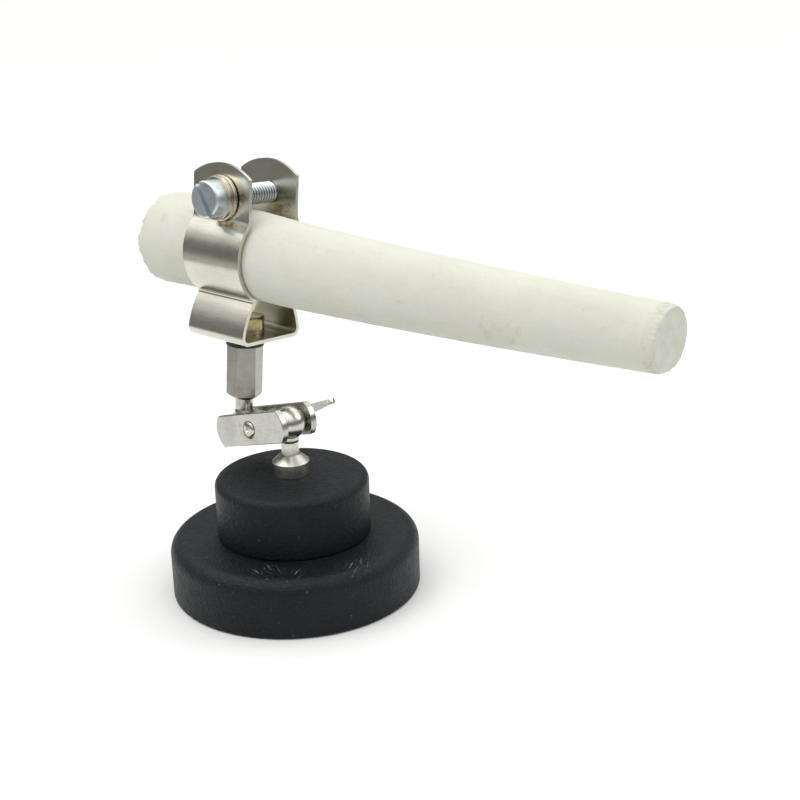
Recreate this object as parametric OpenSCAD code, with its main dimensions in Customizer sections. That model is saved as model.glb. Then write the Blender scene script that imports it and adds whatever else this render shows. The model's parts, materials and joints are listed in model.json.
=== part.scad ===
// Rod holder on a weighted round foot: a double ball joint carries a hex
// standoff and a strap clip, and the clip grips a tapered rod.
// Millimetres, +Z up. The origin is the centre of the rest face, on the foot's axis.

/* [Foot] */
// Diameter of the lower disc
lower_d = 70; // [60:1:90]
// Top of the lower disc above the surface
lower_top = 16.3; // [12:0.1:20]
// Diameter of the upper disc
upper_d = 43; // [36:0.5:50]
// Height of the upper disc
upper_h = 17; // [12:0.5:20]
// Rounding of the lower disc's top edge
lower_round = 3.9; // [1:0.1:5]
// Rounding of the upper disc's top edge
upper_round = 2.5; // [1:0.1:4]
// Diameter of the rubber pad under the foot
pad_d = 60; // [50:1:64]

/* [Ball joint] */
// Diameter of both balls
ball_d = 9.4; // [9:0.1:10]
// Height of the lower ball's centre above the surface
ball_z = 48.3; // [47:0.1:52]
// Diameter of both ball studs
stud_d = 5; // [4:0.1:5.4]
// Distance between the two ball centres
ball_pitch = 20; // [19:0.5:24]
// Length of each clamp plate
plate_len = 29.2; // [28.8:0.1:34]
// Width of each clamp plate
plate_w = 9; // [8:0.1:10]
// Thickness of each clamp plate
plate_t = 2; // [1.5:0.1:2.4]
// Distance between the outer faces of the two plates
plates_across = 12.5; // [12.2:0.1:12.8]
// Bulge of the plates' rounded ends
plate_bulge = 1.9; // [1:0.1:3]
// Turn of the plates about the foot's axis
arm_turn = -43.6; // [-180:0.1:180]
// Rise of the plates towards the lower ball
arm_rise = 16; // [0:0.5:22]
// Roll of the plates about their own length
arm_roll = -2; // [-6:0.5:6]

/* [Wing screw] */
// Half of the span across the two wings
wing_reach = 10.6; // [9:0.1:10.8]
// Height of the wings above the rear plate
wing_rise = 13; // [10:0.1:14]
// Angle of the wings about the screw, from the plates' length
wing_turn = 12; // [0:1:90]

/* [Standoff and clip] */
// Size across the standoff's flats
standoff_af = 8.8; // [8.5:0.1:10]
// Length of the standoff
standoff_len = 16.7; // [15:0.1:18]
// Height of the standoff's lower end above the upper ball
standoff_from = 8.6; // [8:0.1:10]
// Height of the rod's centre line above the upper ball
rod_up = 50.4; // [50:0.1:52]
// Thickness of the clip's strap
strap_t = 1; // [0.8:0.05:1.1]
// Width of the clip's strap
strap_w = 21; // [16:0.5:22]
// Shift of the strap's middle from the clip's bolt, towards the thin end
strap_shift = -0.5; // [-1:0.1:1]
// Inside radius of the clip's round part
strap_r = 12.5; // [12.5:0.05:12.8]
// Distance between the outer faces of the two ears
ears_across = 19; // [18.6:0.1:19.6]
// Height of the clip's screw above the rod's centre line
screw_up = 15.8; // [15.6:0.1:16.4]
// Turn of the holder about the foot's axis
holder_turn = -39.5; // [-180:0.1:180]
// Dip of the rod's thin end
holder_dip = 1.5; // [-5:0.1:5]
// Lean of the holder to the side
holder_lean = -4.9; // [-8:0.1:8]

/* [Rod] */
// Radius of the rod where the clip holds it
rod_r = 12.15; // [11:0.05:12.15]
// Loss of radius for each millimetre towards the thin end
rod_taper = 0.0307; // [0:0.0001:0.032]
// Length of the rod on the thick side of the clip
rod_back = 30; // [15:1:40]
// Length of the rod on the thin side of the clip
rod_front = 131.5; // [60:0.5:150]

/* [Hidden] */
$fn = 96;

// Fits
running = 0.05;          // radial gap of a shaft that turns in its hole
clear = 0.3;             // radial gap of a loose hole
cut = 1;                 // how far a cutter runs past the faces it cuts

// Foot
foot_gap = 0.2;          // the lower disc stands this far off the surface
pad_t = 1.5;
foot_top = lower_top + upper_h;
counterbore_r = 8;
counterbore_h = 8;
edge_round = 0.6;
washer_r = 5;
washer_t = 1;
m5_nut_af = 8;
m5_nut_h = 4;

// Studs and collar
stud_r = stud_d / 2;
ball_r = ball_d / 2;
neck_r = 3.1;            // flare where a stud runs into its ball
neck_h = 1.1;
collar_r = 4.8;
collar_rim_r = 5.2;
collar_rim_z = 3.9;      // height of the rim above the foot
collar_rim_h = 0.35;
collar_cone_h = 2.1;
collar_top_r = 2.75;

// Plates
plate_out = plates_across / 2;
plate_in = plate_out - plate_t;
end_half = plate_w / 2;
end_r = (end_half * end_half + plate_bulge * plate_bulge) / (2 * plate_bulge);
end_x = plate_len / 2 - end_r;       // centre of the end's arc
straight_x = plate_len / 2 - plate_bulge;
screw_r = 2.45;
screw_proud = 0.25;      // the wing screw's end stands this far out of the front plate
dimple_r = 0.8;

// Wing
hub_r = 4.1;
hub_top_r = 3.3;
hub_h = 4.6;
wing_t = 1.4;
wing_root = 3.6;         // thickness of a wing at the hub
wing_tip_r = 2.4;

// Clip hardware
m6_r = 2.95;
m6_nut_af = 10;
m6_nut_h = 5;
bolt_head_h = 3.8;
bolt_len = 9;
bolt_washer_r = 5.3;
head_r = 5;
head_h = 3.9;
head_round = 0.7;
slot_w = 1.6;
slot_depth = 1.9;
flat_washer_r = 6.2;
flat_washer_t = 1.2;
spring_washer_r = 5.9;
spring_washer_t = 1.5;
spring_gap = 1.2;
washer_lift = 0.3;       // the washer rests on the shoulder of the ear's bend
standoff_washer_r = 6;
standoff_chamfer_r = 2.9;
standoff_chamfer_h = 1.5;

// Clip section, in the plane across the rod: y is sideways, z is up
ear_out = ears_across / 2;
ear_in = ear_out - strap_t;
strap_out = strap_r + strap_t;
ear_top = 25;            // crown of the ears above the rod's centre line
ear_crown_r = 17.5;
ear_bend_r = 3;          // inside radius of the bend from an ear to the round part
box_half = 11.2;         // outer half width of the lower box
box_bottom = 23.6;       // depth of the box's outer face below the centre line
box_corner_r = 2.4;
box_side_r = 22;         // the box's sides are slightly barrel shaped
waist_angle = 54.5;      // the round part runs down to here
waist_r = 0.8;           // outside radius of the crease at the waist
joint_lap = 0.4;         // neighbouring stretches share this many degrees

// The ear's bend is tangent to the ear's outer face and to the round part's outside
bend_y = ear_out + ear_bend_r;
bend_reach = strap_out + ear_bend_r;
bend_z = sqrt(bend_reach * bend_reach - bend_y * bend_y);
bend_angle = atan2(bend_z, bend_y);

// Centres of the waist's crease, the box's corner and the box's side, as [y, z].
// The side's arc is tangent to the other two.
crease_c = (strap_out + waist_r) * [cos(waist_angle), -sin(waist_angle)];
corner_c = [box_half - box_corner_r, box_corner_r - box_bottom];
between = norm(crease_c - corner_c);
upward = (crease_c - corner_c) / between;
inward = [-upward[1], upward[0]];
to_crease = box_side_r + waist_r;
to_corner = box_side_r - box_corner_r;
side_up = (to_corner * to_corner - to_crease * to_crease + between * between) / (2 * between);
side_c = corner_c + side_up * upward
    + sqrt(to_corner * to_corner - side_up * side_up) * inward;
side_a1 = atan2(corner_c[1] - side_c[1], corner_c[0] - side_c[0]);
side_a2 = atan2(crease_c[1] - side_c[1], crease_c[0] - side_c[0]);

standoff_top = standoff_from + standoff_len;
clip_floor = rod_up - box_bottom;             // outer face of the clip's floor
bolt_seat = clip_floor + strap_t;

// ---- placing ----

module on_arm() {
    translate([0, 0, ball_z])
        rotate([arm_roll, -arm_rise, arm_turn])
            children();
}

// The plates' middle, with x along them, y through them and z across them
module at_plates() {
    on_arm() translate([-ball_pitch / 2, 0, 0]) children();
}

// The upper ball's centre, with x along the rod and z up the stud
function turned(v, r) = let (
    a = [v[0], v[1] * cos(r[0]) - v[2] * sin(r[0]), v[1] * sin(r[0]) + v[2] * cos(r[0])],
    b = [a[0] * cos(r[1]) + a[2] * sin(r[1]), a[1], a[2] * cos(r[1]) - a[0] * sin(r[1])]
) [b[0] * cos(r[2]) - b[1] * sin(r[2]), b[0] * sin(r[2]) + b[1] * cos(r[2]), b[2]];

upper_ball = [0, 0, ball_z] + turned([-ball_pitch, 0, 0], [arm_roll, -arm_rise, arm_turn]);

module at_holder() {
    translate(upper_ball)
        rotate([holder_lean, holder_dip, holder_turn])
            children();
}

// The rod's centre line at the clip
module at_rod() {
    at_holder() translate([0, 0, rod_up]) children();
}

// ---- shapes ----

// A disc with a rounded top edge and a slightly rounded bottom edge
module round_disc(r, h, top, low) {
    rotate_extrude() {
        square([r - top, h]);
        translate([0, low]) square([r, h - top - low]);
        square([r - low, h - top]);
        translate([r - top, h - top]) circle(top);
        translate([r - low, low]) circle(low);
    }
}

module hex(af, h) {
    cylinder(d = af / cos(30), h = h, $fn = 6);
}

// A hexagonal bar whose far end is chamfered
module hex_chamfered(af, h, top_r, chamfer) {
    intersection() {
        hex(af, h);
        union() {
            cylinder(r = af, h = h - chamfer);
            translate([0, 0, h - chamfer])
                cylinder(r1 = af / 2 / cos(30), r2 = top_r, h = chamfer);
        }
    }
}

module ring(r, hole, h) {
    difference() {
        cylinder(r = r, h = h);
        translate([0, 0, -cut]) cylinder(r = hole, h = h + 2 * cut);
    }
}

// A ball at the origin on a stud that runs down to z = -reach
module ball_on_stud(reach) {
    sphere(ball_r);
    translate([0, 0, -reach]) cylinder(r = stud_r, h = reach);
    translate([0, 0, -ball_r - neck_h + 0.5])
        cylinder(r1 = stud_r, r2 = neck_r, h = neck_h);
}

// ---- foot ----

module lower_disc() {
    color([0.06, 0.06, 0.065])
    difference() {
        translate([0, 0, foot_gap])
            round_disc(lower_d / 2, lower_top - foot_gap, lower_round, edge_round);
        cylinder(r = stud_r + 2 * running, h = lower_top + cut);
        cylinder(r = counterbore_r, h = counterbore_h);
        cylinder(r = pad_d / 2 + running, h = pad_t);
    }
}

module upper_disc() {
    color([0.06, 0.06, 0.065])
    translate([0, 0, lower_top])
    difference() {
        round_disc(upper_d / 2, upper_h, upper_round, edge_round);
        translate([0, 0, -cut])
            cylinder(r = stud_r + 2 * running, h = upper_h + 2 * cut);
    }
}

module base_pad() {
    color([0.1, 0.1, 0.1]) cylinder(r = pad_d / 2, h = pad_t);
}

module base_washer() {
    color([0.75, 0.75, 0.76])
    translate([0, 0, counterbore_h - washer_t])
        ring(washer_r, stud_r + running, washer_t);
}

module base_nut() {
    color([0.75, 0.75, 0.76])
    translate([0, 0, counterbore_h - washer_t - m5_nut_h])
    difference() {
        hex_chamfered(m5_nut_af, m5_nut_h, m5_nut_af / 2, 0.4);
        translate([0, 0, -cut]) cylinder(r = stud_r + running, h = m5_nut_h + 2 * cut);
    }
}

module stud_collar() {
    color([0.75, 0.73, 0.68])
    translate([0, 0, foot_top])
    difference() {
        union() {
            cylinder(r = collar_r, h = collar_rim_z - collar_rim_h);
            translate([0, 0, collar_rim_z - collar_rim_h])
                cylinder(r = collar_rim_r, h = collar_rim_h);
            translate([0, 0, collar_rim_z])
                cylinder(r1 = collar_rim_r, r2 = collar_top_r, h = collar_cone_h);
        }
        translate([0, 0, -cut]) cylinder(r = stud_r + running, h = collar_rim_z * 2 + cut);
    }
}

module lower_ball_stud() {
    color([0.78, 0.76, 0.72])
    translate([0, 0, ball_z])
        ball_on_stud(ball_z - (counterbore_h - washer_t - m5_nut_h - 0.5));
}

// ---- clamp plates ----

module plate_outline() {
    square([2 * straight_x, plate_w], center = true);
    for (side = [-1, 1])
        intersection() {
            translate([side * end_x, 0]) circle(end_r);
            translate([side * plate_len / 4, 0]) square([plate_len / 2, plate_w], center = true);
        }
}

// One plate with its two ball dishes and its screw hole; side is -1 in front and 1 behind
module clamp_plate(side) {
    color([0.76, 0.74, 0.69])
    at_plates()
    difference() {
        translate([0, side * (plate_in + plate_t / 2), 0])
            rotate([90, 0, 0])
                translate([0, 0, -plate_t / 2])
                    linear_extrude(plate_t) plate_outline();
        for (x = [-ball_pitch / 2, ball_pitch / 2])
            translate([x, 0, 0]) sphere(ball_r + running);
        rotate([90, 0, 0])
            translate([0, 0, -2 * plate_out])
                cylinder(r = screw_r + running, h = 4 * plate_out);
    }
}

module front_plate() {
    clamp_plate(-1);
}

module rear_plate() {
    clamp_plate(1);
}

// One wing, with x outwards and z away from the plates: it thins from the hub to its tip
module wing() {
    hull() {
        translate([wing_reach - wing_tip_r, 0, wing_rise - wing_tip_r])
            rotate([90, 0, 0]) cylinder(r = wing_tip_r, h = wing_t, center = true, $fn = 48);
        translate([0, -wing_root / 2, 0.8]) cube([hub_top_r, wing_root, hub_h - 1.2]);
    }
}

module wing_screw() {
    color([0.78, 0.76, 0.7])
    at_plates()
    // the screw's own frame: z runs through the plates from front to rear
    rotate([-90, 0, 0])
    rotate([0, 0, -wing_turn]) {
        difference() {
            union() {
                translate([0, 0, -plate_out - screw_proud])
                    cylinder(r = screw_r, h = 2 * plate_out + screw_proud);
                translate([0, 0, plate_out]) cylinder(r1 = hub_r, r2 = hub_top_r, h = hub_h);
            }
            translate([0, 0, -plate_out - screw_proud]) sphere(dimple_r);
        }
        for (side = [0, 180])
            rotate([0, 0, side]) translate([0, 0, plate_out]) wing();
    }
}

// ---- standoff ----

module upper_ball_stud() {
    color([0.76, 0.74, 0.7])
    at_holder()
        mirror([0, 0, 1]) ball_on_stud(standoff_from + 6);
}

module hex_standoff() {
    color([0.72, 0.7, 0.65])
    at_holder()
    difference() {
        translate([0, 0, standoff_top])
            mirror([0, 0, 1])
                rotate([0, 0, 50])
                    hex_chamfered(standoff_af, standoff_len, standoff_chamfer_r, standoff_chamfer_h);
        translate([0, 0, standoff_from - cut])
            cylinder(r = stud_r + running, h = 6 + cut + running);
        translate([0, 0, standoff_top - 8.5])
            cylinder(r = m6_r + running, h = 8.5 + cut);
    }
}

module standoff_washer() {
    color([0.08, 0.08, 0.08])
    at_holder()
        translate([0, 0, standoff_top])
            ring(standoff_washer_r, m6_r + clear, clip_floor - standoff_top);
}

// ---- clip ----

// A piece of ring from angle a1 to a2, which span less than 180 degrees
module arc_band(inner, outer, a1, a2) {
    reach = 4 * outer;
    intersection() {
        difference() {
            circle(outer);
            circle(inner);
        }
        polygon([
            [0, 0],
            reach * [cos(a1), sin(a1)],
            reach * [cos((a1 + a2) / 2), sin((a1 + a2) / 2)],
            reach * [cos(a2), sin(a2)]
        ]);
    }
}

// Half of the clip's section, on the side of positive y
module half_section() {
    // ear
    translate([ear_in, bend_z - 0.02]) square([strap_t, ear_top - bend_z + 0.02]);
    // bend from the ear to the round part
    translate([bend_y, bend_z])
        arc_band(ear_bend_r, ear_bend_r + strap_t, 180 - joint_lap, 180 + bend_angle + joint_lap);
    // round part, down to the waist
    arc_band(strap_r, strap_out, -waist_angle - joint_lap, bend_angle + joint_lap);
    // crease at the waist
    translate(crease_c)
        arc_band(waist_r, waist_r + strap_t, 180 - waist_angle - joint_lap, 180 + side_a2 + joint_lap);
    // side, corner and floor of the lower box
    translate(side_c)
        arc_band(box_side_r - strap_t, box_side_r, side_a1 - joint_lap, side_a2 + joint_lap);
    translate(corner_c)
        arc_band(box_corner_r - strap_t, box_corner_r, -90 - joint_lap, side_a1 + joint_lap);
    translate([0, -box_bottom]) square([corner_c[0] + 0.02, strap_t]);
}

module clip_section() {
    half_section();
    mirror([1, 0]) half_section();
}

// The drilled outline of both ears, seen from the side: it rounds their crowns
module ear_crown() {
    rotate([90, 0, 0])
        linear_extrude(4 * ears_across, center = true) {
            translate([strap_shift, ear_top - ear_crown_r]) circle(ear_crown_r);
            translate([-strap_w, -2 * strap_w]) square([2 * strap_w, 2 * strap_w + 18]);
        }
}

module pipe_clip() {
    color([0.74, 0.72, 0.67])
    at_rod()
    difference() {
        intersection() {
            // the section runs along x, with its own y as the clip's height
            translate([strap_shift, 0, 0])
                rotate([90, 0, 90]) linear_extrude(strap_w, center = true) clip_section();
            ear_crown();
        }
        translate([0, 0, screw_up])
            rotate([90, 0, 0]) cylinder(r = m6_r + clear, h = 4 * ears_across, center = true);
        translate([0, 0, -box_bottom - cut]) cylinder(r = m6_r + clear, h = strap_t + 2 * cut);
    }
}

module clip_bolt() {
    color([0.72, 0.6, 0.3])
    at_holder() {
        translate([0, 0, bolt_seat + washer_t])
            rotate([0, 0, 8])
                hex_chamfered(m6_nut_af, bolt_head_h, m6_nut_af / 2 - 0.3, 0.8);
        translate([0, 0, bolt_seat + washer_t - bolt_len]) cylinder(r = m6_r, h = bolt_len);
    }
}

module clip_bolt_washer() {
    color([0.6, 0.52, 0.32])
    at_holder()
        translate([0, 0, bolt_seat])
            ring(bolt_washer_r, m6_r + clear, washer_t);
}

// Across the ears: z runs outwards from the front ear
module at_front_ear() {
    at_rod() translate([0, -ear_out - washer_lift, screw_up]) rotate([90, 0, 0]) children();
}

module clip_flat_washer() {
    color([0.7, 0.65, 0.52])
    at_front_ear() ring(flat_washer_r, m6_r + clear, flat_washer_t);
}

module clip_spring_washer() {
    color([0.68, 0.65, 0.57])
    at_front_ear()
    translate([0, 0, flat_washer_t])
    difference() {
        ring(spring_washer_r, m6_r + clear, spring_washer_t);
        rotate([0, 0, 250])
            translate([0, -spring_gap / 2, -cut])
                cube([2 * spring_washer_r, spring_gap, spring_washer_t + 2 * cut]);
    }
}

module clip_nut() {
    color([0.7, 0.72, 0.75])
    at_rod()
    translate([0, ear_out, screw_up])
    rotate([-90, 0, 0])
    difference() {
        hex_chamfered(m6_nut_af, m6_nut_h, m6_nut_af / 2, 0.5);
        translate([0, 0, -cut]) cylinder(r = m6_r + running, h = m6_nut_h + 2 * cut);
    }
}

module clip_screw() {
    shank = washer_lift + flat_washer_t + spring_washer_t + ears_across + m6_nut_h + 1.2;
    color([0.66, 0.7, 0.74])
    at_front_ear()
    translate([0, 0, flat_washer_t + spring_washer_t])
    difference() {
        union() {
            rotate_extrude() {
                square([head_r - head_round, head_h]);
                square([head_r, head_h - head_round]);
                translate([head_r - head_round, head_h - head_round]) circle(head_round);
            }
            translate([0, 0, -shank]) cylinder(r = m6_r, h = shank + 0.5);
        }
        rotate([0, 0, -57])
            translate([-head_r - cut, -slot_w / 2, head_h - slot_depth])
                cube([2 * (head_r + cut), slot_w, slot_depth + cut]);
    }
}

// ---- rod ----

module rod() {
    color([0.88, 0.87, 0.82])
    at_rod()
        translate([-rod_back, 0, 0])
            rotate([0, 90, 0])
                cylinder(
                    r1 = rod_r + rod_taper * rod_back,
                    r2 = rod_r - rod_taper * rod_front,
                    h = rod_back + rod_front
                );
}

lower_disc();
upper_disc();
base_pad();
base_washer();
base_nut();
stud_collar();
lower_ball_stud();
front_plate();
rear_plate();
wing_screw();
upper_ball_stud();
hex_standoff();
standoff_washer();
pipe_clip();
clip_bolt();
clip_bolt_washer();
clip_flat_washer();
clip_spring_washer();
clip_nut();
clip_screw();
rod();
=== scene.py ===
import json
import math

import bmesh
import bpy
from bpy.props import FloatProperty, FloatVectorProperty, IntProperty, PointerProperty
from mathutils import Matrix, Vector, noise


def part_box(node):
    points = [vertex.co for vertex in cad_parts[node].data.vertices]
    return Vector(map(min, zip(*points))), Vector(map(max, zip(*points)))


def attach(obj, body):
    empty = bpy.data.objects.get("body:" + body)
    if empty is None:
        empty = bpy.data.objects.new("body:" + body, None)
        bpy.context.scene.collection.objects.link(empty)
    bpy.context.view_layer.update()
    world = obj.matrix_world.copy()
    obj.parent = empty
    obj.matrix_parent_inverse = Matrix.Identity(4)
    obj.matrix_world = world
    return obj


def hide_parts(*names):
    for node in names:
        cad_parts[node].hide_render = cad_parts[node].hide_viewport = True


bl_info = {
    "name": "Rod Holder",
    "version": (1, 0, 0),
    "blender": (4, 5, 0),
    "location": "View3D > Sidebar > Rod Holder",
    "description": "Builds the looks of a rod holder on a weighted foot around its packed solids",
    "category": "Object",
}

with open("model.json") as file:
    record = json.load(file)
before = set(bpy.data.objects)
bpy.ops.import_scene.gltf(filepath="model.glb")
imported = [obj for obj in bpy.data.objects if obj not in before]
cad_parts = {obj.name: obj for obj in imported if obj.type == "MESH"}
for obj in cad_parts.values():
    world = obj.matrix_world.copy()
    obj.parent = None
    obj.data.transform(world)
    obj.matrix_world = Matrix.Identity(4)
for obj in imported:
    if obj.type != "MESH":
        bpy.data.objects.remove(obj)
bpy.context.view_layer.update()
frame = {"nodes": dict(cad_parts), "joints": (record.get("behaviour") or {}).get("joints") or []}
JOINTS = {joint["name"]: joint for joint in frame["joints"]}
MM = 0.001

# sizes in millimetres that the visual pieces share with the solids
BALL_RADIUS = 4.7
STUD_RADIUS = 2.5
SCREW_OVER_ROD = 15.8        # the clamp screw's axis above the rod's
SEAT_FROM_SCREW_AXIS = 9.8   # along the screw, from the rod's centre to the washers' inner face
HEAD_SEAT = 2.7              # the washers' thickness under the clamp screw's head
SHANK_LENGTH = 28.2
HUB_CUT = 6.29               # just clear of the rear plate's outer face
ROD_BACK, ROD_FRONT = -30.0, 131.5
ROD_RADIUS, ROD_TAPER = 12.145, 0.0307


# ---- places, all taken from the joints ----

def joint_place(name):
    return Vector(JOINTS[name]["pos_m"])


def joint_axis(name):
    return Vector(JOINTS[name]["axis"]).normalized()


def axes_at(origin, x, y, z):
    place = Matrix((x, y, z)).transposed().to_4x4()
    place.translation = origin
    return place


def lower_ball_axes():
    return Matrix.Translation(joint_place("arm_tilt"))


def plate_axes():
    """X along the clamp plates, Y through them towards the wings, Z across them."""
    along = (joint_place("arm_tilt") - joint_place("stud_tilt")).normalized()
    through = joint_axis("wing_turn")
    return axes_at(joint_place("wing_turn"), along, through, along.cross(through))


def holder_axes():
    """X along the rod towards its thin end, Z up the stud, with its origin in the upper ball."""
    up = joint_axis("clip_swivel")
    across = joint_axis("screw_turn")
    return axes_at(joint_place("clip_swivel"), across.cross(up), across, up)


def rod_axes():
    """As the holder's, with its origin on the rod's centre line."""
    place = holder_axes()
    up = place.col[2].to_3d()
    height = (joint_place("screw_turn") - joint_place("clip_swivel")).dot(up) - SCREW_OVER_ROD * MM
    place.translation = joint_place("clip_swivel") + up * height
    return place


def screw_axes():
    """Z out of the front ear along the clamp screw, with its origin on the washers' inner face."""
    place = holder_axes()
    along, across, up = (place.col[i].to_3d() for i in range(3))
    return axes_at(joint_place("screw_turn") - across * SEAT_FROM_SCREW_AXIS * MM, along, up, -across)


# ---- mesh helpers; sizes are in millimetres ----

def new_piece(name, mesh, sharp=30.0):
    """A linked object at the origin, shaded smooth but for edges sharper than that many degrees."""
    piece = bpy.data.objects.new(name, mesh)
    bpy.context.scene.collection.objects.link(piece)
    bm = bmesh.new()
    bm.from_mesh(mesh)
    for face in bm.faces:
        face.smooth = True
    limit = math.radians(sharp)
    for edge in bm.edges:
        edge.smooth = len(edge.link_faces) == 2 and edge.calc_face_angle() < limit
    bm.to_mesh(mesh)
    bm.free()
    return piece


def flatten_shading(piece):
    """Big flat faces keep their own normals, so that rounded edges don't streak across them."""
    modifier = piece.modifiers.new("Weighted Normals", "WEIGHTED_NORMAL")
    modifier.keep_sharp = True
    graph = bpy.context.evaluated_depsgraph_get()
    made = bpy.data.meshes.new_from_object(piece.evaluated_get(graph))
    piece.modifiers.clear()
    piece.data = made


def settle(piece, body, nodes, material):
    flatten_shading(piece)
    piece.data.materials.clear()
    piece.data.materials.append(material)
    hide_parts(*nodes)
    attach(piece, body)


def dress(node, material):
    """A carried-over solid gets its own finish."""
    held = frame["nodes"][node]
    held.data.materials.clear()
    held.data.materials.append(material)


def rounded(corners, steps=4):
    """(radius, height, fillet) corners become (radius, height) points with arcs."""
    points = []
    count = len(corners)
    for i, (r, z, fillet) in enumerate(corners):
        here = Vector((r, z))
        if fillet <= 0 or i in (0, count - 1):
            points.append((r, z))
            continue
        to_last = (Vector(corners[i - 1][:2]) - here).normalized()
        to_next = (Vector(corners[i + 1][:2]) - here).normalized()
        half = to_last.angle(to_next) / 2
        reach = fillet / math.tan(half)
        middle = here + (to_last + to_next).normalized() * (fillet / math.sin(half))
        start = here + to_last * reach - middle
        sweep = start.angle_signed(here + to_next * reach - middle)
        for k in range(steps + 1):
            turn = Matrix.Rotation(-sweep * k / steps, 2)
            points.append(tuple(middle + turn @ start))
    return points


def turned(profile, place, segments=96, closed=False):
    """A turned mesh: the profile's points go round the place's Z axis."""
    bm = bmesh.new()
    rings = []
    for r, z in profile:
        if r < 1e-6:
            rings.append([bm.verts.new((0, 0, z * MM))])
        else:
            rings.append([
                bm.verts.new((r * MM * math.cos(a), r * MM * math.sin(a), z * MM))
                for a in (math.tau * k / segments for k in range(segments))
            ])
    pairs = list(zip(rings, rings[1:]))
    if closed:
        pairs.append((rings[-1], rings[0]))
    for low, high in pairs:
        for k in range(segments):
            n = (k + 1) % segments
            if len(low) == 1 and len(high) == 1:
                continue
            if len(low) == 1:
                bm.faces.new((low[0], high[n], high[k]))
            elif len(high) == 1:
                bm.faces.new((low[k], low[n], high[0]))
            else:
                bm.faces.new((low[k], low[n], high[n], high[k]))
    bmesh.ops.recalc_face_normals(bm, faces=bm.faces)
    bm.transform(place)
    return to_mesh(bm)


def to_mesh(bm, name="shape"):
    mesh = bpy.data.meshes.new(name)
    bm.to_mesh(mesh)
    bm.free()
    return mesh


def solid_copy(node):
    """A merged copy of a solid's mesh, with its flat faces whole again."""
    bm = bmesh.new()
    bm.from_mesh(frame["nodes"][node].data)
    bmesh.ops.remove_doubles(bm, verts=bm.verts, dist=2e-6)
    bmesh.ops.dissolve_limit(
        bm, angle_limit=math.radians(0.3), verts=bm.verts, edges=bm.edges, use_dissolve_boundaries=False
    )
    return bm


def soften(bm, width, angle=28.0, segments=2):
    """Rounds every edge sharper than the angle."""
    limit = math.radians(angle)
    edges = [e for e in bm.edges if len(e.link_faces) == 2 and e.calc_face_angle() > limit]
    bmesh.ops.bevel(
        bm, geom=edges, offset=width * MM, offset_type="OFFSET", segments=segments,
        profile=0.5, affect="EDGES", clamp_overlap=True,
    )
    return bm


def softened_piece(name, node, width, sharp=22.0, angle=28.0):
    bm = soften(solid_copy(node), width, angle)
    mesh = to_mesh(bm, name)
    for layer in ("custom_normal", "sharp_edge", "sharp_face"):
        if layer in mesh.attributes:
            mesh.attributes.remove(mesh.attributes[layer])
    return new_piece(name, mesh, sharp)


def joined(name, *meshes):
    """One mesh from several closed ones."""
    bm = bmesh.new()
    for mesh in meshes:
        bm.from_mesh(mesh)
    return to_mesh(bm, name)


# ---- thread, made by Geometry Nodes ----

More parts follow.
